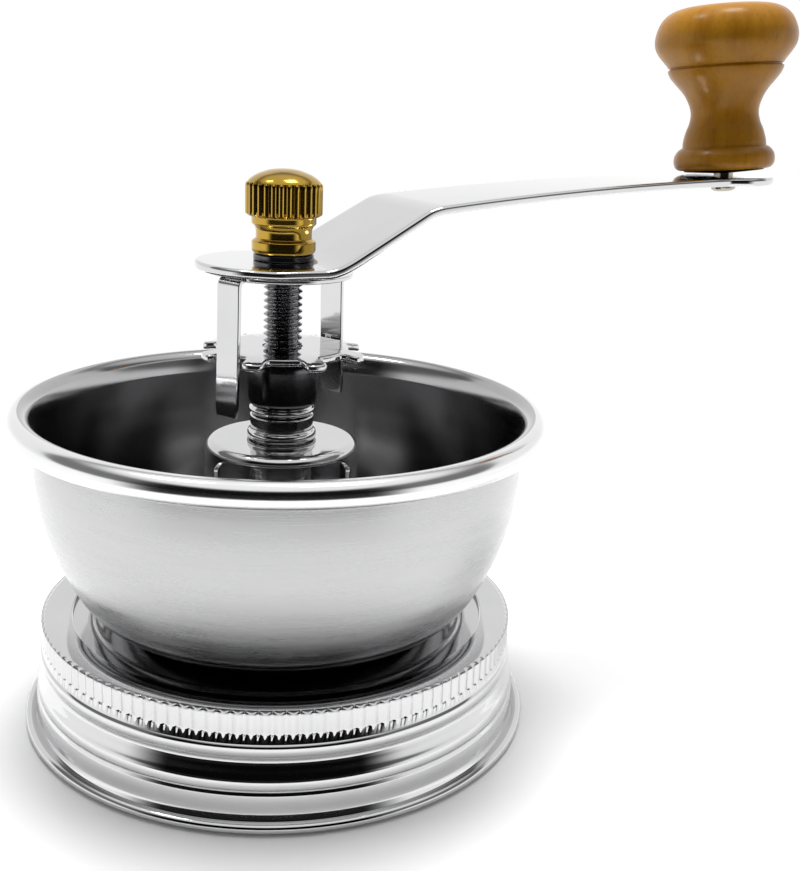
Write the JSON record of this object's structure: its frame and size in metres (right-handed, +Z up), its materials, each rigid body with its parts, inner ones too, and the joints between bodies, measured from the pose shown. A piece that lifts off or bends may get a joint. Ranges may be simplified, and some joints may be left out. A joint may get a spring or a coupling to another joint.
{
  "type": "hand crank coffee grinder",
  "caption": "Small manual coffee mill: steel hopper bowl on a screw band for a wide-mouth jar, threaded shaft, notched grind wheel, bent crank arm, brass nut and turned wooden knob.",
  "frame": {"origin": "centre of the bounding box's base, on the surface that the screw band's lip stands on; the shaft's axis is at x = -28.33 mm", "axes": "+Z up along the shaft, +X from the shaft to the knob as the crank is stored, +Y to the left of the crank arm seen from the shaft"},
  "size_m": [0.1512, 0.0938, 0.129],
  "materials": {
    "polished_steel": "mirror polished",
    "satin_steel": "fine spun satin",
    "dark_steel": "polished, blackened",
    "threaded_steel": "cut thread",
    "spring_steel": "drawn wire",
    "brass": "polished",
    "lacquered_wood": "clear lacquer",
    "seal_rubber": "matte",
    "burr_ceramic": "matte"
  },
  "bodies": {
    "hopper": {"hopper_bowl": "satin_steel", "bridge": "polished_steel", "bridge_screw_1": "polished_steel", "bridge_screw_2": "polished_steel", "bridge_screw_3": "polished_steel", "bridge_screw_4": "polished_steel", "holder_nut_1": "satin_steel", "holder_nut_2": "satin_steel", "holder_nut_3": "satin_steel", "holder_nut_4": "satin_steel", "shaft_bushing": "polished_steel", "jar_disc": "satin_steel", "jar_gasket": "seal_rubber", "burr_holder": "satin_steel", "outer_burr": "burr_ceramic", "burr_spring": "spring_steel"},
    "band": {"screw_band": "polished_steel"},
    "adjuster": {"thrust_washer": "polished_steel", "adjuster_hub": "dark_steel", "adjuster_plate": "polished_steel"},
    "drive": {"drive_shaft": "threaded_steel", "lock_clip": "polished_steel", "crank_arm": "polished_steel", "knob_pin": "satin_steel", "inner_burr": "burr_ceramic", "spring_washer": "satin_steel", "burr_washer": "satin_steel", "burr_nut": "satin_steel"},
    "nut_lifter": {"nut_washer": "satin_steel"},
    "crank_nut": {"crank_nut": "brass"},
    "knob": {"knob": "lacquered_wood"}
  },
  "joints": [
    {"name": "band_turn", "type": "hinge", "parent": "hopper", "child": "band", "pos_m": [-0.02872, 0, 0], "axis": [0, 0, 1], "continuous": true},
    {"name": "crank_turn", "type": "hinge", "parent": "hopper", "child": "adjuster", "pos_m": [-0.02872, 0, 0], "axis": [0, 0, 1], "continuous": true},
    {"name": "grind_setting", "type": "slide", "parent": "adjuster", "child": "drive", "axis": [0, 0, 1], "range_m": [0, 0.0015], "deforming": ["burr_spring"]},
    {"name": "nut_lift", "type": "slide", "parent": "drive", "child": "nut_lifter", "axis": [0, 0, 1], "range_m": [0, 0.0093]},
    {"name": "nut_turn", "type": "hinge", "parent": "nut_lifter", "child": "crank_nut", "pos_m": [-0.02872, 0, 0.0828], "axis": [0, 0, 1], "range_deg": [0, 2880]},
    {"name": "knob_spin", "type": "hinge", "parent": "drive", "child": "knob", "pos_m": [0.06388, 0, 0.0967], "axis": [-0.0628, 0.0696, 0.9956], "continuous": true}
  ],
  "couplings": [
    {"joint": "nut_lift", "follows": "nut_turn", "m_per_rad": 0.00018303}
  ]
}
